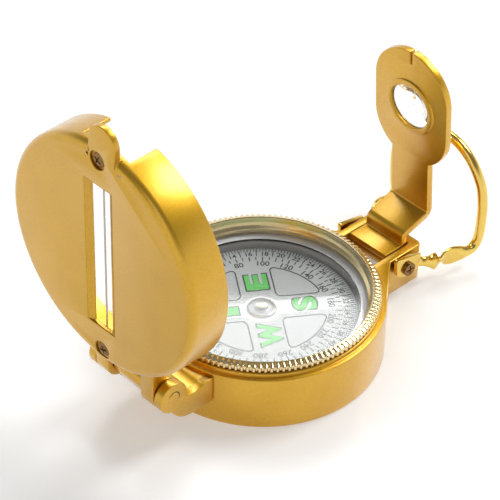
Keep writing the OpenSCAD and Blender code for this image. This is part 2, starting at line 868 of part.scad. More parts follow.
// A closed tube along a path whose items are a point and two half sizes
module swept(path, sides) {
    last = len(path) - 1;
    flat_ref = [1, 0.9, 0];
    rings = [for (i = [0:last])
        let (
            ahead = path[min(i + 1, last)][0],
            behind = path[max(i - 1, 0)][0],
            tangent = unit(ahead - behind),
            tall = unit(cross(tangent, flat_ref)),
            wide = cross(tall, tangent)
        )
        [for (k = [0:sides - 1])
            path[i][0] + wide * path[i][1] * cos(360 * k / sides)
                + tall * path[i][2] * sin(360 * k / sides)]];
    points = [for (ring = rings) each ring];
    sides_faces = [for (i = [0:last - 1]) for (k = [0:sides - 1])
        let (m = (k + 1) % sides, a = i * sides, b = a + sides)
        each [[a + k, b + k, b + m], [a + k, b + m, a + m]]];
    start_cap = [for (k = [0:sides - 1]) k];
    end_cap = [for (k = [sides - 1:-1:0]) last * sides + k];
    polyhedron(points = points, faces = concat([start_cap], sides_faces, [end_cap]));
}

module thumb_loop() {
    color(bright_gold) translate([0, arm_y, arm_up]) difference() {
        union() {
            swept(refined(loop_path, 2), 12);
            both_sides() across(loop_x, loop_x + loop_tab_t)
                offset(r = loop_tab_round) offset(delta = -loop_tab_round)
                    polygon(loop_tab_outline);
        }
        rod_x(0, 0, loop_screw_r + run, -far, far);
    }
}

case_body();
capsule_pad();
capsule_cup();
capsule_gasket();
capsule_lid();
pivot_needle();
bezel_spring();
cover_hinge_pin();
arm_pin();
arm_washers();
loop_screws();
loop_washers();
bezel_ring();
crystal();
dial_card();
magnet_bar();
jewel_cup();
hub_dome();
cover_shell();
sight_wire();
wire_anchors();
cover_screws();
lens_arm();
lens();
lens_ring();
thumb_loop();
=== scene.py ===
"""A folding lensatic compass in a gold finish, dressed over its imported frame.

The compass stands on z = 0 with +Y towards the cover's hinge. Sizes are in millimetres
until a mesh is made. The case, bezel, loop, screws and dial print are surfaces worked out
with numpy. The cover and the lens arm are copies of the frame's solids with soft edges.
"""

import math

import bmesh
import bpy
import numpy as np
from mathutils import Matrix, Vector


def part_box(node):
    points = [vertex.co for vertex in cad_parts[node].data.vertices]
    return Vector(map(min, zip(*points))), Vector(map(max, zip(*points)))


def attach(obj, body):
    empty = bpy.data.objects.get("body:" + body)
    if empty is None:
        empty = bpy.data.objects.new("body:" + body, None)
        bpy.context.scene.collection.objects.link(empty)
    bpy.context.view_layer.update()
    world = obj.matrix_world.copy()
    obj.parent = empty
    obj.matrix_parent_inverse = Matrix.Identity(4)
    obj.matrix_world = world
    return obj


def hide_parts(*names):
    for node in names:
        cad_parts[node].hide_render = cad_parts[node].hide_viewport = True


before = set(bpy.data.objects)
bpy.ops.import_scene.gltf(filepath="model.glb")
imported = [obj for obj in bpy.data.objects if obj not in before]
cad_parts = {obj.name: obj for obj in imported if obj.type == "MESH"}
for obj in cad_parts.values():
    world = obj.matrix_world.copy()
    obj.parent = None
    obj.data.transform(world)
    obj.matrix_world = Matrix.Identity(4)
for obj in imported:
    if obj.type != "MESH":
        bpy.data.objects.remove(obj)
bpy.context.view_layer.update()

MM = 0.001
TURN = 2 * math.pi


def box_mm(node):
    """Lowest and highest corner of a node, in millimetres."""
    low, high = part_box(node)
    return np.array(low) / MM, np.array(high) / MM


# Sizes read from the frame
CASE_LOW, CASE_HIGH = box_mm("case_body")
BEZEL_LOW, BEZEL_HIGH = box_mm("bezel_ring")
PIN_LOW, PIN_HIGH = box_mm("arm_pin")
CRYSTAL_LOW, CRYSTAL_HIGH = box_mm("crystal")
SCREWS_LOW, SCREWS_HIGH = box_mm("cover_screws")
HINGE_LOW, HINGE_HIGH = box_mm("cover_hinge_pin")
FACE_Y = box_mm("cover_shell")[1][1]
DIAL_TOP = box_mm("dial_card")[1][2]
LOOP_SCREW_END = box_mm("loop_screws")[1][0]

# Places and sizes that several pieces share
CASE_R = CASE_HIGH[0]
POCKET_R = CASE_R - 3.25
SHELF_Z = CRYSTAL_LOW[2] - 0.5
ARM_Y = (PIN_LOW[1] + PIN_HIGH[1]) / 2
ARM_Z = (PIN_LOW[2] + PIN_HIGH[2]) / 2
HINGE_HALF = HINGE_HIGH[0]
HINGE_Y = (HINGE_LOW[1] + HINGE_HIGH[1]) / 2
HINGE_Z = (HINGE_LOW[2] + HINGE_HIGH[2]) / 2
HINGE_PIN_R = 1.5
CASE_SEAT = HINGE_Z - 0.4
COVER_Z = HINGE_Z + HINGE_Y
SCREW_HEAD_R = SCREWS_HIGH[0]
SCREW_OUT = (SCREWS_HIGH[2] - SCREWS_LOW[2]) / 2 - SCREW_HEAD_R
SCREW_RECESS = 0.9
BEZEL_RIBS = 128
BEZEL_HEM = BEZEL_HIGH[2] - 1.75
BEZEL_RIDGE = BEZEL_HIGH[0] - 1.7
LOOP_WIRE = 1.2
LOOP_TAB = 1.1
LOOP_HEAD_BASE = LOOP_SCREW_END - 0.7
LOOP_TAB_OUT = LOOP_HEAD_BASE - 0.05
NORTH = math.radians(34.6)
INK = 0.02


# Camera


def make_camera():
    """The photograph's view: back = (sin az cos el, -cos az cos el, sin el), turned by the roll."""
    azimuth, elevation, roll = np.radians([225.589, 39.4807, 1.1388])
    distance, slide_x, slide_y = 586.44, 2.44547, -21.19127
    focal_px, frame_px = 2586.334, 500
    back = np.array([
        np.sin(azimuth) * np.cos(elevation),
        -np.cos(azimuth) * np.cos(elevation),
        np.sin(elevation),
    ])
    level = np.cross([0, 0, 1], back)
    level /= np.linalg.norm(level)
    upright = np.cross(back, level)
    right = math.cos(roll) * level + math.sin(roll) * upright
    up = math.cos(roll) * upright - math.sin(roll) * level
    place = back * distance - right * slide_x - up * slide_y
    data = bpy.data.cameras.new("camera")
    data.sensor_width = 36
    data.lens = focal_px / frame_px * data.sensor_width
    data.clip_end = 10
    camera = bpy.data.objects.new("camera", data)
    axes = Matrix((right, up, back)).transposed().to_4x4()
    camera.matrix_world = Matrix.Translation(place * MM) @ axes
    bpy.context.scene.collection.objects.link(camera)
    bpy.context.scene.camera = camera


# Meshes


def add_object(name, mesh):
    """An object at the origin that holds a mesh."""
    piece = bpy.data.objects.new(name, mesh)
    bpy.context.scene.collection.objects.link(piece)
    return piece


def clean_mesh(mesh):
    """Joins points that lie together and turns the faces outwards."""
    weld = 1e-7
    bm = bmesh.new()
    bm.from_mesh(mesh)
    bmesh.ops.remove_doubles(bm, verts=bm.verts, dist=weld)
    bmesh.ops.dissolve_degenerate(bm, edges=bm.edges, dist=weld)
    bmesh.ops.recalc_face_normals(bm, faces=bm.faces)
    bm.to_mesh(mesh)
    bm.free()


def shade(mesh, sharp_deg=None):
    """Smooth shading, with a crease where faces meet at more than an angle."""
    mesh.shade_smooth()
    if sharp_deg is not None:
        mesh.set_sharp_from_angle(angle=math.radians(sharp_deg))


def surface(name, points, loop_rows=False, loop_cols=False, sharp_deg=None):
    """Closed skin over a grid of points in millimetres, rows by columns by 3."""
    rows, cols, _ = points.shape
    i = np.arange(rows if loop_rows else rows - 1)
    j = np.arange(cols if loop_cols else cols - 1)
    i, j = np.meshgrid(i, j, indexing="ij")
    near, far = i * cols, (i + 1) % rows * cols
    side = (j + 1) % cols
    quads = np.stack([near + j, far + j, far + side, near + side], -1).reshape(-1, 4)
    caps = []
    if not loop_rows:
        point_like = 1e-6
        if np.ptp(points[0], axis=0).max() > point_like:
            caps.append(list(range(cols)))
        if np.ptp(points[-1], axis=0).max() > point_like:
            caps.append(list(range((rows - 1) * cols, rows * cols))[::-1])
    mesh = bpy.data.meshes.new(name)
    mesh.from_pydata((points.reshape(-1, 3) * MM).tolist(), [], quads.tolist() + caps)
    clean_mesh(mesh)
    shade(mesh, sharp_deg)
    return add_object(name, mesh)


def rounded(points, radii, steps):
    """Closed outline with each corner turned into the arc that touches both of its sides."""
    points = np.asarray(points, float)
    out = []
    for k, corner in enumerate(points):
        radius = radii[k]
        if radius <= 0:
            out.append(corner[None])
            continue
        u = points[k - 1] - corner
        v = points[(k + 1) % len(points)] - corner
        u, v = u / np.linalg.norm(u), v / np.linalg.norm(v)
        half = math.acos(np.clip(u @ v, -1, 1)) / 2
        mid = (u + v) / np.linalg.norm(u + v)
        centre = corner + mid * radius / math.sin(half)
        start = corner + u * radius / math.tan(half) - centre
        end = corner + v * radius / math.tan(half) - centre
        sweep = math.pi - 2 * half
        t = np.linspace(0, 1, steps + 1)[:, None]
        arc = (np.sin((1 - t) * sweep) * start + np.sin(t * sweep) * end) / math.sin(sweep)
        out.append(centre + arc)
    return np.concatenate(out)


def turned(name, profile, steps=192, ribs=None, sharp_deg=None):
    """Profile (radius, height) turned about Z: (r cos a, r sin a, z); ribs(a, k) lowers r and z."""
    profile = np.asarray(profile, float)
    angle = np.arange(steps) / steps * TURN
    r = np.repeat(profile[:, :1], steps, 1)
    z = np.repeat(profile[:, 1:], steps, 1)
    if ribs is not None:
        cut_r, cut_z = ribs(angle[None], profile)
        r, z = r - cut_r, z - cut_z
    points = np.stack([r * np.cos(angle), r * np.sin(angle), z], -1)
    return surface(name, points, loop_rows=True, loop_cols=True, sharp_deg=sharp_deg)


def softened(node, name, radius):
    """Copy of a cast node with its loose triangles joined and its edges rounded."""
    sharp = math.radians(32)
    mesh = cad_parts[node].data.copy()
    mesh.name = name
    mesh.materials.clear()
    bm = bmesh.new()
    bm.from_mesh(mesh)
    bmesh.ops.remove_doubles(bm, verts=bm.verts, dist=0.03 * MM)
    bmesh.ops.dissolve_degenerate(bm, edges=bm.edges, dist=0.02 * MM)
    bmesh.ops.dissolve_limit(bm, angle_limit=math.radians(0.4), verts=bm.verts, edges=bm.edges)
    weight = bm.edges.layers.float.new("bevel_weight_edge")
    for edge in bm.edges:
        if len(edge.link_faces) == 2 and edge.calc_face_angle(0) >= sharp:
            edge[weight] = 1.0
    bm.to_mesh(mesh)
    bm.free()
    piece = add_object(name, mesh)
    bevel = piece.modifiers.new("edges", "BEVEL")
    bevel.width = radius * MM
    bevel.segments = 3
    bevel.limit_method = "WEIGHT"
    bevel.use_clamp_overlap = False
    finished = bpy.data.meshes.new_from_object(
        piece.evaluated_get(bpy.context.evaluated_depsgraph_get()))
    piece.modifiers.clear()
    piece.data = finished
    finished.name = name
    shade(finished, 40)
    return piece


# Case


def arc_points(centre, radius, start_deg, end_deg, steps=12):
    """Points c + r (cos a, sin a) of an arc."""
    a = np.radians(np.linspace(start_deg, end_deg, steps + 1))[:, None]
    return np.array(centre) + radius * np.concatenate([np.cos(a), np.sin(a)], 1)


def prism(name, outline, low, high, edge, axis="x"):
    """Counterclockwise outline drawn out along X or Z: inset e(1-sin q), depth e(1-cos q) at rims."""
    outline = np.asarray(outline, float)
    tangent = np.roll(outline, -1, 0) - np.roll(outline, 1, 0)
    tangent /= np.linalg.norm(tangent, axis=1)[:, None]
    normal = np.stack([tangent[:, 1], -tangent[:, 0]], -1)
    q = np.linspace(0, math.pi / 2, 5)
    inset = np.concatenate([edge * (1 - np.sin(q)), edge * (1 - np.sin(q))[::-1]])
    depth = edge * (1 - np.cos(q))
    depth = np.concatenate([low + depth, high - depth[::-1]])
    rings = []
    for level, shift in zip(depth, inset):
        flat = outline - normal * shift
        column = np.full((len(outline), 1), level)
        parts = [column, flat] if axis == "x" else [flat, column]
        rings.append(np.concatenate(parts, 1))
    return surface(name, np.stack(rings), loop_cols=True, sharp_deg=40)


def case_profile():
    """Section of the case: round foot, wall, seat for the cover, lip and stepped pocket."""
    top, floor = CASE_SEAT, 1.6
    lip_out, lip_in, lip_top = CASE_R - 1.1, CASE_R - 1.7, CASE_SEAT + 1
    corners = [
        (0, 0), (CASE_R, 0), (CASE_R, top), (CASE_R - 0.6, top + 0.12), (lip_out, top + 0.16),
        (lip_out - 0.05, lip_top), (lip_in, lip_top), (lip_in, SHELF_Z),
        (POCKET_R, SHELF_Z), (POCKET_R, floor), (0, floor),
    ]
    return rounded(corners, [0, 0.8, 0.3, 0.1, 0.06, 0.3, 0.12, 0.05, 0.1, 0.2, 0], 6)


def hinge_outlines():
    """Side outlines of the hinge block: with its ears, with the lugs' room, and with the barrel."""
    pin = np.array([HINGE_Y, HINGE_Z])
    foot, top = 6.65, CASE_SEAT - 0.9
    dip, dip_r = np.array([CASE_R + 2.8, top + 5.65]), 6.2
    belly = np.array([HINGE_Y - 5.4, foot + 6.4])

    def dip_from(radius):
        """Angle on the pin's circle and on the dip's where the two meet, on the case's side."""
        gap = dip - pin
        reach = np.linalg.norm(gap)
        along = (reach ** 2 + radius ** 2 - dip_r ** 2) / (2 * reach)
        aside = math.sqrt(radius ** 2 - along ** 2)
        unit = gap / reach
        meet = pin + unit * along + np.array([-unit[1], unit[0]]) * aside
        on_pin = math.degrees(math.atan2(*(meet - pin)[::-1])) % 360
        on_dip = math.degrees(math.atan2(*(meet - dip)[::-1])) % 360
        return on_pin, on_dip

    inner = [(CASE_R - 2.2, top), (CASE_R - 2.2, foot)]
    ear_r, room_r, barrel_r, belly_r = 3.8, 4.1, 2.4, 6.4
    ear_pin, ear_dip = dip_from(ear_r)
    ear = np.concatenate([
        arc_points(belly, belly_r, -90, -26), arc_points(pin, ear_r, -80, ear_pin - 4, 30),
        arc_points(dip, dip_r, ear_dip - 2, 247, 10), inner])
    room_pin, room_dip = dip_from(room_r)
    room = np.concatenate([
        arc_points(belly, 6.39, -90, -30), arc_points(pin, room_r, 262, room_pin + 0.5, 16),
        arc_points(dip, dip_r, room_dip, 247, 10), inner])
    barrel = np.concatenate([
        arc_points(belly, belly_r, -90, -24.6), arc_points(pin, barrel_r, -31, 176, 24),
        [(HINGE_Y - 4.5, HINGE_Z), (HINGE_Y - 4.5, top - 0.5)], inner[1:]])
    return ear, room, barrel


def frame_outline():
    """Outline of the rear frame from above: gussets that touch the case, and the open middle."""
    half, opening, end, bar = 8.0, 5.9, CASE_LOW[1], 2.4
    wide = ARM_Y + 4.2
    touch = math.atan2(wide, half) + math.acos(CASE_R / math.hypot(half, wide))
    inner_r = CASE_R - 1.6
    start = math.degrees(touch)
    stop = -math.degrees(math.acos(opening / inner_r))
    right = np.concatenate([
        [(CASE_R * math.cos(touch), CASE_R * math.sin(touch))],
        arc_points((0, 0), inner_r, start, stop, 16)])
    left = right[::-1] * [-1, 1]
    middle = [(opening, end + bar), (-opening, end + bar)]
    rear = [(-half, wide), (-half, end), (half, end), (half, wide)]
    outline = np.concatenate([right, middle, left, rear])
    radii = [0] * len(right) + [0.4, 0.4] + [0] * len(left) + [1.5, 1.2, 1.2, 1.5]
    return rounded(outline, radii, 5)


def make_case(material):
    """Case with its hinge block and rear frame, as solids that run into each other."""
    ear, room, barrel = hinge_outlines()
    half, barrel_half, ear_t, frame_top = HINGE_HALF, 5.0, 2.3, 10
    body = ("case", "cast_gold")
    shell = turned("case_shell", case_profile(), 256, sharp_deg=50)
    place(shell, material, *body, "case_body")
    place(prism("hinge_block", room, 0.3 - half, half - 0.3, 0.1), material, *body)
    place(prism("hinge_barrel", barrel, -barrel_half, barrel_half, 0.2), material, *body)
    for number, side in enumerate((-1, 1)):
        low, high = sorted((side * (half - ear_t), side * half))
        place(prism(f"hinge_ear_{number + 1}", ear, low, high, 0.25), material, *body)
    place(prism("rear_frame", frame_outline(), 0, frame_top, 0.3, "z"), material, *body)


def make_capsule(material):
    """Pale capsule, painted light: its cup, and the bright edge and border of its lid, opaque pale
    pieces that lighten the shaded band between the card and the bezel.
    """
    dress(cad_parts["capsule_cup"], material)
    edge_out, edge_in, edge_low = POCKET_R - 0.02, POCKET_R - 0.13, 10.6
    border_in, border_low, border_top = 22.2, SHELF_Z + 0.01, SHELF_Z + 0.05
    # Painted light: the edge and border are opaque pale rings laid where the clear wall lies in
    # shade.
    edge = [(edge_in, edge_low), (edge_out, edge_low), (edge_out, SHELF_Z), (edge_in, SHELF_Z)]
    border = [(border_in, border_low), (POCKET_R, border_low), (POCKET_R, border_top),
        (border_in, border_top)]
    for name, profile in (("capsule_edge_painted_light", edge), ("capsule_border_painted_light", border)):
        place(turned(name, profile, 192, sharp_deg=40), material, "case", "clear_plastic")


def make_hinge_pin(material, dark):
    """Hinge pin with soft ends, and a painted shadow at one side of each end: a dark crescent w =
    0.26 (sin a)^0.7 wide that stands for the shade in the gap round the pin.
    """
    outline = arc_points((HINGE_Y, HINGE_Z), HINGE_PIN_R, 0, 352.5, 47)
    reach = HINGE_HALF + 0.12
    place(prism("hinge_pin", outline, -reach, reach, 0.2), material, "case", "cast_gold",
        "cover_hinge_pin")
    a = np.linspace(0, math.pi, 40)
    turn = math.radians(28)
    way = np.stack([np.cos(a + turn), np.sin(a + turn)], 1)
    centre = np.array([HINGE_Y, HINGE_Z])
    inner = centre + (HINGE_PIN_R - 0.05) * way
    outer = centre + (HINGE_PIN_R + 0.26 * np.sin(a) ** 0.7)[:, None] * way
    crescent = np.concatenate([outer, inner[::-1]])
    # Painted shadow: a dark crescent slab on each ear's face, on the side of the pin where the gap
    # lies in shade.
    for number, side in enumerate((-1, 1)):
        low, high = sorted((side * (HINGE_HALF - 0.1), side * (HINGE_HALF + 0.012)))
        place(prism(f"hinge_pin_painted_shadow_{number + 1}", crescent, low, high, 0.002), dark, "case",
            "seal_rubber")


# Finishes


def start_material(name, metallic, roughness, colour):
    """A Principled material; colour is linear red, green and blue."""
    material = bpy.data.materials.new(name)
    material.use_nodes = True
    skin = material.node_tree.nodes["Principled BSDF"]
    skin.inputs["Metallic"].default_value = metallic
    skin.inputs["Roughness"].default_value = roughness
    skin.inputs["Base Color"].default_value = (*colour, 1)
    return material, material.node_tree, skin


def noise(tree, size_mm, detail=3.0, stretch=(1, 1, 1)):
    """Noise whose patches are about size_mm wide, on the piece's own coordinates."""
    coord = tree.nodes.new("ShaderNodeTexCoord")
    place = tree.nodes.new("ShaderNodeMapping")
    place.inputs["Scale"].default_value = stretch
    node = tree.nodes.new("ShaderNodeTexNoise")
    node.inputs["Scale"].default_value = 1 / (size_mm * MM)
    node.inputs["Detail"].default_value = detail
    tree.links.new(coord.outputs["Object"], place.inputs["Vector"])
    tree.links.new(place.outputs["Vector"], node.inputs["Vector"])
    return node.outputs["Fac"]


def spread(tree, value, low, high, start=0.3, end=0.7):
    """Carries a value from start..end to low..high."""
    node = tree.nodes.new("ShaderNodeMapRange")
    for key, number in (("From Min", start), ("From Max", end), ("To Min", low), ("To Max", high)):
        node.inputs[key].default_value = number
    tree.links.new(value, node.inputs["Value"])
    return node.outputs["Result"]


def blended(tree, factor, first, second):
    """Colour between two linear colours by a factor."""
    node = tree.nodes.new("ShaderNodeMix")
    node.data_type = "RGBA"
    node.inputs[6].default_value = (*first, 1)
    node.inputs[7].default_value = (*second, 1)
    tree.links.new(factor, node.inputs[0])
    return node.outputs[2]


def bumped(tree, skin, height, depth_mm):
    """Bump of a depth in millimetres on a material's skin."""
    node = tree.nodes.new("ShaderNodeBump")
    node.inputs["Strength"].default_value = 1.0
    node.inputs["Distance"].default_value = depth_mm * MM
    tree.links.new(height, node.inputs["Height"])
    tree.links.new(node.outputs["Normal"], skin.inputs["Normal"])


def satin_gold():
    """Cast and tumbled metal under a clear lacquer: fine grain, patches a little duller."""
    material, tree, skin = start_material("satin_gold", 1.0, 0.4, (0.66, 0.37, 0.04))
    patch = noise(tree, 9, 3)
    grain = noise(tree, 0.32, 2)
    both = tree.nodes.new("ShaderNodeMath")
    both.operation = "MULTIPLY_ADD"
    tree.links.new(grain, both.inputs[0])
    both.inputs[1].default_value = 0.65
    tree.links.new(spread(tree, patch, 0.10, 0.25), both.inputs[2])
    shine = spread(tree, both.outputs[0], 0.0, 1.0, 0.32, 0.68)
    tree.links.new(
        blended(tree, shine, (0.64, 0.345, 0.006), (0.75, 0.43, 0.018)), skin.inputs["Base Color"])
    tree.links.new(spread(tree, grain, 0.42, 0.36), skin.inputs["Roughness"])
    skin.inputs["Coat Weight"].default_value = 1.0
    skin.inputs["Coat IOR"].default_value = 1.5
    skin.inputs["Coat Roughness"].default_value = 0.22
    bumped(tree, skin, grain, 0.009)
    return material


def polished_gold(name, colour, deep, rough):
    """Smooth plated metal with faint polishing marks."""
    material, tree, skin = start_material(name, 1.0, rough, colour)
    patch = noise(tree, 4, 3)
    marks = noise(tree, 0.3, 3, (1, 1, 6))
    tree.links.new(blended(tree, patch, colour, deep), skin.inputs["Base Color"])
    tree.links.new(spread(tree, marks, rough * 0.8, rough * 1.35), skin.inputs["Roughness"])
    bumped(tree, skin, marks, 0.002)
    return material


def dark_bronze():
    """Browned screws, worn paler in patches."""
    material, tree, skin = start_material("dark_bronze", 1.0, 0.3, (0.26, 0.14, 0.04))
    patch = noise(tree, 0.8, 4)
    tree.links.new(
        blended(tree, patch, (0.14, 0.07, 0.018), (0.42, 0.25, 0.09)), skin.inputs["Base Color"])
    tree.links.new(spread(tree, patch, 0.2, 0.38), skin.inputs["Roughness"])
    bumped(tree, skin, patch, 0.02)
    return material


def plain_steel():
    """Drawn steel for pins, needle and wire."""
    material, tree, skin = start_material("plain_steel", 1.0, 0.3, (0.60, 0.58, 0.55))
    marks = noise(tree, 0.2, 3, (1, 8, 8))
    tree.links.new(spread(tree, marks, 0.2, 0.4), skin.inputs["Roughness"])
    tree.links.new(
        blended(tree, marks, (0.62, 0.60, 0.56), (0.50, 0.48, 0.46)), skin.inputs["Base Color"])
    return material


def clear_plastic(name, tint, ior=1.45):
    """Clear plastic that lets lamps through, with faint haze."""
    material, tree, skin = start_material(name, 0.0, 0.02, tint)
    skin.inputs["IOR"].default_value = ior
    skin.inputs["Transmission Weight"].default_value = 1.0
    haze = noise(tree, 3, 2)
    tree.links.new(spread(tree, haze, 0.01, 0.05), skin.inputs["Roughness"])
    through = tree.nodes.new("ShaderNodeBsdfTransparent")
    through.inputs["Color"].default_value = (0.8, 0.8, 0.8, 1)
    path = tree.nodes.new("ShaderNodeLightPath")
    mix = tree.nodes.new("ShaderNodeMixShader")
    tree.links.new(path.outputs["Is Shadow Ray"], mix.inputs["Fac"])
    tree.links.new(skin.outputs["BSDF"], mix.inputs[1])
    tree.links.new(through.outputs["BSDF"], mix.inputs[2])
    tree.links.new(mix.outputs["Shader"], tree.nodes["Material Output"].inputs["Surface"])
    return material


def clear_sheet():
    """Flat clear sheet: hardly bends the view, with a hazy shine on its faces."""
    material = clear_plastic("clear_sheet", (0.98, 0.99, 0.99), 1.03)
    skin = material.node_tree.nodes["Principled BSDF"]
    material.node_tree.links.remove(skin.inputs["Roughness"].links[0])
    skin.inputs["Roughness"].default_value = 0.0
    skin.inputs["Coat Weight"].default_value = 1.0
    skin.inputs["Coat IOR"].default_value = 1.3
    skin.inputs["Coat Roughness"].default_value = 0.04
    return material


def printed(name, colour):
    """Screen ink: flat colour with a slight unevenness."""
    material, tree, skin = start_material(name, 0.0, 0.6, colour)
    patch = noise(tree, 0.4, 3)
    pale = tuple(min(1, c * 1.15 + 0.01) for c in colour)
    tree.links.new(blended(tree, patch, colour, pale), skin.inputs["Base Color"])
    return material


def card():
    """Pale grey dial card, faintly mottled."""
    material, tree, skin = start_material("dial_white", 0.0, 0.55, (0.50, 0.51, 0.50))
    patch = noise(tree, 2.5, 4)
    tree.links.new(
        blended(tree, patch, (0.48, 0.49, 0.48), (0.54, 0.55, 0.54)), skin.inputs["Base Color"])
    return material


def capsule_white():
    """Opaque pale gloss that stands for the capsule's thick clear wall as the eye meets it: painted
    light, pale where the wall lies in shade under the bezel.
    """
    material, tree, skin = start_material("capsule_white", 0.0, 0.12, (0.90, 0.91, 0.92))
    patch = noise(tree, 3, 3)
    tree.links.new(
        blended(tree, patch, (0.88, 0.89, 0.90), (0.95, 0.95, 0.96)), skin.inputs["Base Color"])
    skin.inputs["Coat Weight"].default_value = 1.0
    skin.inputs["Coat Roughness"].default_value = 0.05
    return material


def felt():
    """Dark felt under the capsule."""
    material, tree, skin = start_material("felt", 0.0, 0.95, (0.10, 0.08, 0.06))
    fibres = noise(tree, 0.25, 5)
    tree.links.new(
        blended(tree, fibres, (0.06, 0.05, 0.04), (0.16, 0.13, 0.10)), skin.inputs["Base Color"])
    bumped(tree, skin, fibres, 0.1)
    return material


def rubber():
    """Dark brown seal, also used for the painted shadow at the hinge pin's ends."""
    material, tree, skin = start_material("seal_brown_and_painted_shadow", 0.0, 0.5, (0.05, 0.03, 0.02))
    patch = noise(tree, 0.5, 3)
    tree.links.new(spread(tree, patch, 0.4, 0.65), skin.inputs["Roughness"])
    return material


def dress(piece, material):
    """Gives a piece one material."""
    piece.data.materials.clear()
    piece.data.materials.append(material)


def place(piece, material, body, slot, *nodes):
    """Dresses a piece, puts it on its body and lets it stand for the named nodes."""
    dress(piece, material)
    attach(piece, body)
    if nodes:
        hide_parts(*nodes)
    return piece


# Bezel


def bezel_profile():
    """Section of the bezel: skirt, ribbed band, ridge, bright slopes and window edge."""
    outer, foot, top = BEZEL_HIGH[0], BEZEL_LOW[2], BEZEL_HIGH[2]
    skirt = CASE_R - 1.85
    window, seat_r = CRYSTAL_HIGH[0] - 0.55, CRYSTAL_HIGH[0] + 0.02
    hem, band, ridge = BEZEL_HEM, top - 0.6, BEZEL_RIDGE
    corners = [
        (seat_r, foot), (skirt, foot), (skirt, hem), (outer, hem), (outer, band),
        (ridge, top), (ridge - 0.3, top - 0.2), (window + 0.9, hem + 0.45),
        (window + 0.7, hem - 0.25), (window + 0.1, hem - 0.85),
        (window, CRYSTAL_HIGH[2]), (seat_r, CRYSTAL_HIGH[2]),
    ]
    radii = [0.05, 0.1, 0.05, 0.16, 0.3, 0.1, 0.08, 0.12, 0.12, 0.1, 0, 0]
    return densified(rounded(corners, radii, 4), 0.35)


def densified(outline, longest):
    """Closed outline with points added where a side is longer than a length."""
    outline = np.asarray(outline, float)
    ahead = np.roll(outline, -1, 0)
    out = []
    for a, b in zip(outline, ahead):
        count = max(1, math.ceil(np.linalg.norm(b - a) / longest))
        t = np.arange(count)[:, None] / count
        out.append(a + (b - a) * t)
    return np.concatenate(out)


def bezel_ribs(angle, profile):
    """Grooves between the ribs: depth times a flattened cosine, fading up to the ridge."""
    r, z = profile[:, :1], profile[:, 1:]
    hem, ridge = BEZEL_HEM, BEZEL_RIDGE
    wave = np.clip(0.5 - 1.3 * np.cos(angle * BEZEL_RIBS), 0, 1)
    wave = wave * wave * (3 - 2 * wave)
    outside = (r > ridge) & (z > hem - 0.01)
    fade = np.clip((r - ridge - 0.25) / 0.9, 0, 1) * outside
    slope = 1 - np.clip((r - ridge) / 1.7, 0, 1)
    return 0.4 * fade * wave, 0.22 * fade * slope * wave


def make_bezel(material):
    """Turning bezel with its coin edge."""
    ring = turned("bezel_coin_edge", bezel_profile(), BEZEL_RIBS * 10, bezel_ribs)
    place(ring, material, "bezel", "bezel_brass", "bezel_ring")


# Thumb loop


def smooth_path(points, steps):
    """Curve through the points: p = b + t(c-a)/2 + t^2(2a-5b+4c-d)/2 + t^3(3b-3c+d-a)/2."""
    points = np.asarray(points, float)
    padded = np.concatenate([points[:1], points, points[-1:]])
    a, b, c, d = (padded[k:len(points) - 1 + k, None] for k in range(4))
    t = (np.arange(steps) / steps)[None, :, None]
    curve = b + 0.5 * t * (c - a + t * (2 * a - 5 * b + 4 * c - d + t * (3 * (b - c) + d - a)))
    return np.concatenate([curve.reshape(-1, points.shape[1]), points[-1:]])


def swept(name, path, flat_ref, sides):
    """Tube along a path of (x, y, z, half wide, half tall, squareness).

    A ring's point is centre + wide a sgn(cos q)|cos q|^(2/n) + tall b sgn(sin q)|sin q|^(2/n).
    """
    centre, half_wide, half_tall, power = path[:, :3], path[:, 3], path[:, 4], path[:, 5]
    tangent = np.gradient(centre, axis=0)
    tangent /= np.linalg.norm(tangent, axis=1)[:, None]
    tall = np.cross(tangent, flat_ref)
    tall /= np.linalg.norm(tall, axis=1)[:, None]
    wide = np.cross(tall, tangent)
    angle = np.arange(sides) / sides * TURN
    c, s = np.cos(angle), np.sin(angle)
    bend = 2 / power[:, None]
    across = half_wide[:, None] * np.sign(c) * np.abs(c) ** bend
    upward = half_tall[:, None] * np.sign(s) * np.abs(s) ** bend
    rings = centre[:, None] + across[..., None] * wide[:, None] + upward[..., None] * tall[:, None]
    return surface(name, rings, loop_cols=True)


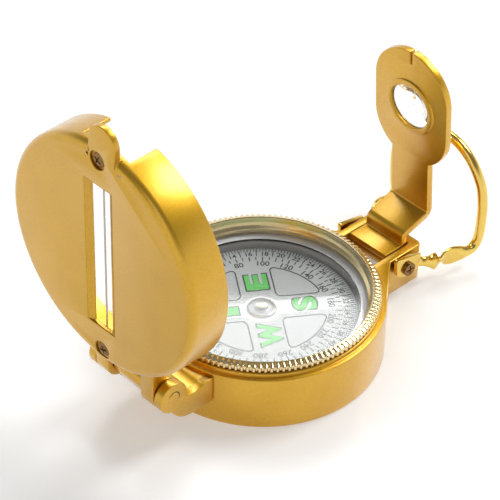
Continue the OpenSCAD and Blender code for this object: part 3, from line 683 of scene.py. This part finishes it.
def thumb_loop_path():
    """Half of the loop from its flattened end to the bow's top, then mirrored."""
    wire, tab = LOOP_WIRE, LOOP_TAB / 2
    mid = LOOP_TAB_OUT - tab
    back, half, up = 19.9, 13.9, 24.2
    points = [
        (mid, -2.6, -0.3, tab - 0.05, wire, 2.4),
        (mid + 0.15, -4.3, -0.6, tab, wire - 0.05, 2.4),
        (mid + 0.6, -5.6, -1.0, wire - 0.4, wire - 0.05, 2.2),
        (half - 3.9, 12.6 - back, -1.8, wire - 0.3, wire + 0.3, 2.2),
        (half - 3.3, 11.2 - back, -2.1, wire - 0.4, wire + 1.1, 2.4),
        (half - 2.5, 9.7 - back, -1.7, wire / 2, wire + 1.5, 2.6),
        (half - 1.9, 7.95 - back, -1.5, wire / 2 + 0.1, wire + 1.3, 2.6),
        (half - 1.3, 5.85 - back, -1.6, wire - 0.3, wire + 0.7, 2.4),
        (half - 0.9, 3.8 - back, -2.0, wire - 0.1, wire + 0.2, 2.1),
        (half - 0.8, 1.6 - back, -2.0, wire, wire, 2),
        (half - 0.7, 0.1 - back, -0.5, wire, wire, 2),
        (half - 0.2, -back, 2.5, wire, wire, 2),
        (half, -back, 6.5, wire, wire, 2),
        (half, -back, up - 14.2, wire, wire, 2),
        (half - 0.6, -back, up - 10, wire, wire, 2),
        (half - 1.7, -back, up - 7.3, wire, wire, 2),
        (half - 3.8, -back, up - 4.2, wire, wire, 2),
        (half - 6.5, -back, up - 1.9, wire, wire, 2),
        (half / 3.2, -back, up - 0.5, wire, wire, 2),
        (0, -back, up, wire, wire, 2),
    ]
    right = np.array(points)
    other = right[-2::-1] * [-1, 1, 1, 1, 1, 1]
    whole = smooth_path(np.concatenate([right, other]), 8)
    return whole + [0, ARM_Y, ARM_Z, 0, 0, 0]


def make_loop(material):
    """Wire loop with forged flat ends."""
    loop = swept("thumb_loop_wire", thumb_loop_path(), np.array([1, 0.9, 0]), 40)
    place(loop, material, "loop", "loop_gold", "thumb_loop")
    corners = [(-4.4, 2.1), (-1.3, 2.9), (3.8, 4.0), (3.5, -0.7), (0.7, -2.3), (-3.7, -2.1)]
    outline = rounded(corners, [0.45, 2, 0.5, 0.9, 1.5, 0.45], 6) + [ARM_Y, ARM_Z]
    for number, side in enumerate((-1, 1)):
        low, high = sorted((side * (LOOP_TAB_OUT - LOOP_TAB), side * LOOP_TAB_OUT))
        plate = prism(f"thumb_loop_end_{number + 1}", outline[::-1], low, high, 0.16)
        place(plate, material, "loop", "loop_gold")


# Screws


def screw_points(radius, height, cross_long):
    """Domed head over its edge: z = h (1 - 0.45 (r/R)^4), less a cross where |x| or |y| is small."""
    cross_half, cross_deep, steps = 0.2, 0.4, 96
    t = np.linspace(0, 1, 26)
    r = radius * t
    angle = np.arange(steps) / steps * TURN
    x = r[:, None] * np.cos(angle)
    y = r[:, None] * np.sin(angle)
    dome = height * (1 - 0.45 * t[:, None] ** 4) + 0 * x
    arm_x = soft_step(cross_half - np.abs(y)) * soft_step(cross_long - np.abs(x))
    arm_y = soft_step(cross_half - np.abs(x)) * soft_step(cross_long - np.abs(y))
    z = dome - cross_deep * np.maximum(arm_x, arm_y)
    skin = np.stack([x, y, z], -1)
    rim = np.stack([x[-1], y[-1], 0 * x[-1]], -1)[None]
    foot = np.zeros((1, steps, 3))
    return np.concatenate([skin, rim, foot])


def soft_step(distance):
    """0 below -width, 1 above width, and the rise t^2 (3 - 2t) between."""
    width = 0.06
    t = np.clip(distance / (2 * width) + 0.5, 0, 1)
    return t * t * (3 - 2 * t)


def make_cover_screws(material):
    """Two cross-headed screws in the cover's face."""
    head = screw_points(SCREW_HEAD_R, 0.72, 1.0)
    for number, side in enumerate((-1, 1)):
        turn = math.radians(20 + 37 * number)
        c, s = math.cos(turn), math.sin(turn)
        x = head[..., 0] * c - head[..., 1] * s
        y = head[..., 0] * s + head[..., 1] * c
        centre = COVER_Z + side * SCREW_OUT
        points = np.stack([-x, FACE_Y - SCREW_RECESS + head[..., 2], centre + y], -1)
        piece = surface(f"cover_screw_{number + 1}", points, loop_cols=True, sharp_deg=40)
        place(piece, material, "cover", "bronze_screw", "cover_screws")


def make_loop_screws(material):
    """Two cross-headed screws at the loop's ends."""
    head = screw_points(1.7, 0.7, 1.1)
    for number, side in enumerate((-1, 1)):
        points = np.stack([side * (LOOP_HEAD_BASE + head[..., 2]), ARM_Y + head[..., 0],
            ARM_Z + head[..., 1]], -1)
        piece = surface(f"loop_screw_{number + 1}", points, loop_cols=True, sharp_deg=40)
        place(piece, material, "case", "bronze_screw")


# Dial print


def letters(name, words):
    """Flat words as one closed mesh: (text, size, x, y, angle, bold) in the dial's own frame."""
    depsgraph = bpy.context.evaluated_depsgraph_get()
    bm = bmesh.new()
    for text, size, x, y, angle, bold in words:
        curve = bpy.data.curves.new(name, "FONT")
        curve.body = text
        curve.size = size
        curve.align_x = "CENTER"
        curve.align_y = "CENTER"
        curve.extrude = INK / 2
        curve.offset = bold
        curve.resolution_u = 6
        holder = bpy.data.objects.new(name, curve)
        bpy.context.scene.collection.objects.link(holder)
        depsgraph.update()
        flat = bpy.data.meshes.new_from_object(holder.evaluated_get(depsgraph))
        flat.transform(Matrix.Translation((x, y, 0)) @ Matrix.Rotation(-angle, 4, "Z"))
        bm.from_mesh(flat)
        bpy.data.objects.remove(holder)
        bpy.data.curves.remove(curve)
        bpy.data.meshes.remove(flat)
    mesh = bpy.data.meshes.new(name)
    bm.to_mesh(mesh)
    bm.free()
    return mesh


def boxed_letters(name, rows, grow, bold):
    """Letters stretched into boxes: (text, low x, high x, low y, high y), each grown by a rim."""
    size = 7.5
    parts = bmesh.new()
    for text, x0, x1, y0, y1 in rows:
        single = letters(name, [(text, size, 0, 0, 0, bold)])
        points = np.empty(len(single.vertices) * 3)
        single.vertices.foreach_get("co", points)
        points = points.reshape(-1, 3)
        low, high = points.min(0), points.max(0)
        x0, x1, y0, y1 = x0 - grow, x1 + grow, y0 - grow, y1 + grow
        points[:, 0] = x0 + (points[:, 0] - low[0]) / (high[0] - low[0]) * (x1 - x0)
        points[:, 1] = y0 + (points[:, 1] - low[1]) / (high[1] - low[1]) * (y1 - y0)
        single.vertices.foreach_set("co", points.ravel())
        parts.from_mesh(single)
        bpy.data.meshes.remove(single)
    mesh = bpy.data.meshes.new(name)
    parts.to_mesh(mesh)
    parts.free()
    return mesh


def raw_mesh(name, points, faces):
    """Mesh from an array of points and a list of faces."""
    mesh = bpy.data.meshes.new(name)
    mesh.from_pydata(points.tolist(), [], faces)
    return mesh


def sheet(name, outline):
    """Slab of ink from a counterclockwise outline."""
    outline = np.asarray(outline, float)
    count = len(outline)
    low = np.concatenate([outline, np.full((count, 1), -INK / 2)], 1)
    high = low + [0, 0, INK]
    around = [(k, (k + 1) % count, count + (k + 1) % count, count + k) for k in range(count)]
    caps = [tuple(range(count))[::-1], tuple(range(count, 2 * count))]
    return raw_mesh(name, np.concatenate([low, high]), around + caps)


def bars(rows):
    """Outlines of ticks: rows of (bearing, inner radius, outer radius, width)."""
    rows = np.asarray(rows, float)
    bearing, r0, r1, width = rows.T
    along = np.stack([np.sin(bearing), np.cos(bearing)], -1)
    across = np.stack([np.cos(bearing), -np.sin(bearing)], -1)
    corner = []
    for radius, side in ((r0, -1), (r0, 1), (r1, 1), (r1, -1)):
        corner.append(along * radius[:, None] + across * (side * width / 2)[:, None])
    return np.stack(corner, 1)


def flat_pieces(name, outlines):
    """Slabs of ink from 4-cornered outlines, as one mesh."""
    count = len(outlines)
    low = np.concatenate([outlines, np.full((count, 4, 1), -INK / 2)], -1)
    high = low + [0, 0, INK]
    points = np.concatenate([low, high], 1).reshape(-1, 3)
    sides = np.array([
        [0, 1, 2, 3], [7, 6, 5, 4], [0, 4, 5, 1], [1, 5, 6, 2], [2, 6, 7, 3], [3, 7, 4, 0]])
    faces = (np.arange(count)[:, None, None] * 8 + sides).reshape(-1, 4)
    return raw_mesh(name, points, faces.tolist())


def ribbon(name, outline, width):
    """Closed band of ink along an outline, moved in and out by half its width."""
    outline = np.asarray(outline, float)
    tangent = np.roll(outline, -1, 0) - np.roll(outline, 1, 0)
    tangent /= np.linalg.norm(tangent, axis=1)[:, None]
    normal = np.stack([tangent[:, 1], -tangent[:, 0]], -1)
    inner, outer = outline - normal * width / 2, outline + normal * width / 2
    half = INK / 2
    ring = [
        np.pad(edge, ((0, 0), (0, 1)), constant_values=height)
        for edge, height in ((inner, -half), (outer, -half), (outer, half), (inner, half))
    ]
    grid = np.stack(ring, 1)
    count = len(outline)
    i, j = np.meshgrid(np.arange(count), np.arange(4), indexing="ij")
    ahead, side = (i + 1) % count, (j + 1) % 4
    faces = np.stack([i * 4 + j, ahead * 4 + j, ahead * 4 + side, i * 4 + side], -1)
    return raw_mesh(name, grid.reshape(-1, 3), faces.reshape(-1, 4).tolist())


def lay_on_dial(name, mesh, height, material):
    """Turns a mesh made in the dial's frame to its bearing and lays it at a height."""
    mesh.transform(Matrix.Diagonal((MM, MM, MM, 1))
        @ Matrix.Translation((0, 0, height)) @ Matrix.Rotation(-NORTH, 4, "Z"))
    clean_mesh(mesh)
    place(add_object(name, mesh), material, "dial", "card_white")


def quarter_outline(east, north):
    """Rounded quarter between two letters: two straight sides and an arc of radius far."""
    near, side, far = 3.7, 4.0, 14.7
    start = math.asin(side / far)
    end = math.pi / 2 - math.asin(near / far)
    arc = np.linspace(start, end, 12)
    points = [(near, side)] + [(far * math.cos(a), far * math.sin(a)) for a in arc]
    radii = [1.5] + [0.9] + [0] * 10 + [0.9]
    return rounded(points, radii, 5) * [east, north]


def stripe_outline():
    """Pale band from the hub to the south tip and to the north, with a round boss in the middle."""
    half, boss, tip = 2.2, 4.3, 20.8
    turn = math.degrees(math.asin(half / boss))
    south = [(-half, -17.8), (0.1, -tip), (half, -17.8)]
    right = arc_points((0, 0), boss, turn - 90, 90 - turn, 20)
    north = [(half, 12), (0, 15), (-half, 12)]
    left = arc_points((0, 0), boss, 90 + turn, 270 - turn, 20)
    return np.concatenate([south, right, north, left])


def ring_of_numbers(numbers, step_deg, radius, size):
    """Numbers round the dial, (r sin a, r cos a) at each bearing a, with their tops outwards."""
    bearings = [math.radians(step_deg * k) for k in range(len(numbers))]
    return [
        (str(number), size, radius * math.sin(a), radius * math.cos(a), a, 0.03)
        for number, a in zip(numbers, bearings)
    ]


def make_dial_print(black, green, white, bright):
    """Stripe, ticks, numbers, letters and outlines on the card, and the rim round the hub."""
    stripe_z, ink_z = DIAL_TOP + INK / 2, DIAL_TOP + INK * 1.5
    over_z = ink_z + INK
    deg = math.radians
    lay_on_dial("dial_stripe", sheet("dial_stripe", stripe_outline()), stripe_z, white)
    rows = [(deg(2 * k), 20.15, 21.3, 0.16) for k in range(180)]
    rows += [(deg(k * 11.25 + 5.625), 18.5, 20.7, 0.22) for k in range(32)]
    rows += [(deg(10 * k), 16.8, 18.2, 0.26) for k in range(36)]
    rows += [(deg(10 * k + 5), 17.2, 18.2, 0.24) for k in range(36)]
    lay_on_dial("dial_ticks", flat_pieces("dial_ticks", bars(rows)), ink_z, black)
    mils = ring_of_numbers([64, *range(2, 64, 2)], 11.25, 19.2, 1.9)
    degrees = ring_of_numbers(range(0, 360, 20), 20, 15.75, 2.2)
    lay_on_dial("dial_numbers", letters("dial_numbers", mils + degrees), ink_z, black)
    compass = [
        ("E", 6.55, 11.95, -2.85, 2.25), ("S", -1.75, 2.65, -12.65, -7.15),
        ("W", -12.75, -5.05, -3.05, 1.95),
    ]
    rims = boxed_letters("dial_letter_rims", compass, 0.32, 0.42)
    lay_on_dial("dial_letter_rims", rims, ink_z, black)
    lay_on_dial("dial_letters", boxed_letters("dial_letters", compass, 0, 0.35), over_z, green)
    cup = [(2.82, 0.05), (3.4, 0.05), (3.4, 0.25), (3.2, 0.5), (2.95, 0.6), (2.82, 0.45)]
    rim = turned("hub_rim", [(r, DIAL_TOP + up) for r, up in cup], 96, sharp_deg=50)
    place(rim, bright, "dial", "plain_steel")
    arrow = np.array([
        (-1.4, 5.2), (1.4, 5.2), (1.4, 10), (2.8, 10), (0, 13.5), (-2.8, 10), (-1.4, 10)])
    middle = [0, 8]
    for number, (grow, height, colour) in enumerate(((0.3, ink_z, black), (0, over_z, green))):
        name = f"dial_north_arrow_{number + 1}"
        outline = arrow + grow * np.sign(arrow - middle)
        lay_on_dial(name, sheet(name, outline), height, colour)
    for number, (east, north) in enumerate(((1, 1), (1, -1), (-1, -1), (-1, 1))):
        name = f"dial_quarter_{number + 1}"
        lay_on_dial(name, ribbon(name, quarter_outline(east, north), 0.3), ink_z, black)


# Floor and light


def make_floor():
    """White floor that keeps the shadow: pale paint with a little light of its own."""
    half = 3.0
    mesh = bpy.data.meshes.new("floor")
    mesh.from_pydata([(-half, -half, 0), (half, -half, 0), (half, half, 0), (-half, half, 0)],
        [], [(0, 1, 2, 3)])
    floor = add_object("floor", mesh)
    material, tree, skin = start_material("floor_white", 0.0, 0.25, (0.8, 0.8, 0.8))
    skin.inputs["Specular IOR Level"].default_value = 0.3
    path = tree.nodes.new("ShaderNodeLightPath")
    seen = path.outputs["Is Camera Ray"]
    for ray in ("Is Glossy Ray", "Is Transmission Ray"):
        either = tree.nodes.new("ShaderNodeMath")
        either.operation = "MAXIMUM"
        tree.links.new(seen, either.inputs[0])
        tree.links.new(path.outputs[ray], either.inputs[1])
        seen = either.outputs[0]
    lift = tree.nodes.new("ShaderNodeMath")
    lift.operation = "MULTIPLY"
    lift.inputs[1].default_value = 0.33
    tree.links.new(seen, lift.inputs[0])
    skin.inputs["Emission Color"].default_value = (1, 1, 1, 1)
    tree.links.new(lift.outputs[0], skin.inputs["Emission Strength"])
    dress(floor, material)


def make_world():
    """White studio walls under a dim ceiling: strength falls with the view's height."""
    world = bpy.data.worlds.new("studio")
    bpy.context.scene.world = world
    world.use_nodes = True
    tree = world.node_tree
    back = tree.nodes["Background"]
    back.inputs["Color"].default_value = (1, 1, 1, 1)
    way = tree.nodes.new("ShaderNodeNewGeometry")
    split = tree.nodes.new("ShaderNodeSeparateXYZ")
    tree.links.new(way.outputs["Incoming"], split.inputs[0])
    level = tree.nodes.new("ShaderNodeMapRange")
    level.interpolation_type = "SMOOTHSTEP"
    for key, number in (("From Min", -0.5), ("From Max", -0.15), ("To Min", 0.22), ("To Max", 1)):
        level.inputs[key].default_value = number
    tree.links.new(split.outputs["Z"], level.inputs["Value"])
    tree.links.new(level.outputs["Result"], back.inputs["Strength"])


def add_lamp(name, place_mm, size_mm, power):
    """Rectangular lamp that faces the compass; its width stays level."""
    aim_mm = (0, 0, 25)
    data = bpy.data.lights.new(name, "AREA")
    data.shape = "RECTANGLE"
    data.size = size_mm[0] * MM
    data.size_y = size_mm[1] * MM
    data.energy = power
    lamp = bpy.data.objects.new(name, data)
    place_mm = np.array(place_mm, float)
    aim = place_mm - np.array(aim_mm, float)
    back = aim / np.linalg.norm(aim)
    right = np.cross([0, 0, 1], back)
    right /= np.linalg.norm(right)
    up = np.cross(back, right)
    lamp.matrix_world = (Matrix.Translation(place_mm * MM)
        @ Matrix((right, up, back)).transposed().to_4x4())
    bpy.context.scene.collection.objects.link(lamp)


def make_lamps():
    """Key from behind on the right, a tall panel that the crystal mirrors, and a weak fill."""
    add_lamp("key", (-120, -420, 520), (260, 260), 2.1)
    add_lamp("panel", (300, -294, 520), (460, 228), 1.35)
    add_lamp("fill", (-250, 450, 400), (300, 300), 0.25)


# The compass


def make_compass():
    """All pieces with their finishes: the scene's own, and the nodes that stay as they are."""
    gold = satin_gold()
    bezel_gold = polished_gold("bezel_gold", (0.82, 0.70, 0.42), (0.78, 0.62, 0.33), 0.16)
    loop_gold = polished_gold("loop_gold", (0.86, 0.62, 0.17), (0.80, 0.53, 0.11), 0.16)
    bronze = dark_bronze()
    steel = plain_steel()
    clear = clear_plastic("clear_plastic", (0.97, 0.98, 0.98))

    make_case(gold)
    # The seal's dark brown also paints the shadow at the hinge pin's ends.
    make_hinge_pin(gold, rubber())
    cover = softened("cover_shell", "cover_casting", 0.2)
    place(cover, gold, "cover", "cast_gold", "cover_shell")
    arm = softened("lens_arm", "lens_arm_casting", 0.22)
    place(arm, gold, "arm", "cast_gold", "lens_arm")
    make_bezel(bezel_gold)
    make_loop(loop_gold)
    make_cover_screws(bronze)
    make_loop_screws(bronze)
    make_dial_print(
        printed("ink_black", (0.01, 0.01, 0.01)),
        printed("ink_green", (0.10, 0.55, 0.09)),
        printed("ink_white", (0.8, 0.8, 0.8)),
        steel)

    # The capsule's pale finish is painted light for its clear wall.
    make_capsule(capsule_white())
    dressed = (
        (card(), ("dial_card",)),
        (felt(), ("capsule_pad",)),
        (rubber(), ("capsule_gasket",)),
        (clear, ("hub_dome", "lens")),
        (clear_sheet(), ("crystal", "capsule_lid")),
        (steel, ("pivot_needle", "bezel_spring", "arm_pin", "arm_washers", "magnet_bar",
            "sight_wire")),
        (bezel_gold, ("jewel_cup", "lens_ring", "wire_anchors")),
        (bronze, ("loop_washers", "loop_screws")),
    )
    for material, names in dressed:
        for name in names:
            dress(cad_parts[name], material)


make_camera()
make_compass()
make_floor()
make_world()
make_lamps()
bpy.context.scene.view_settings.view_transform = "Standard"
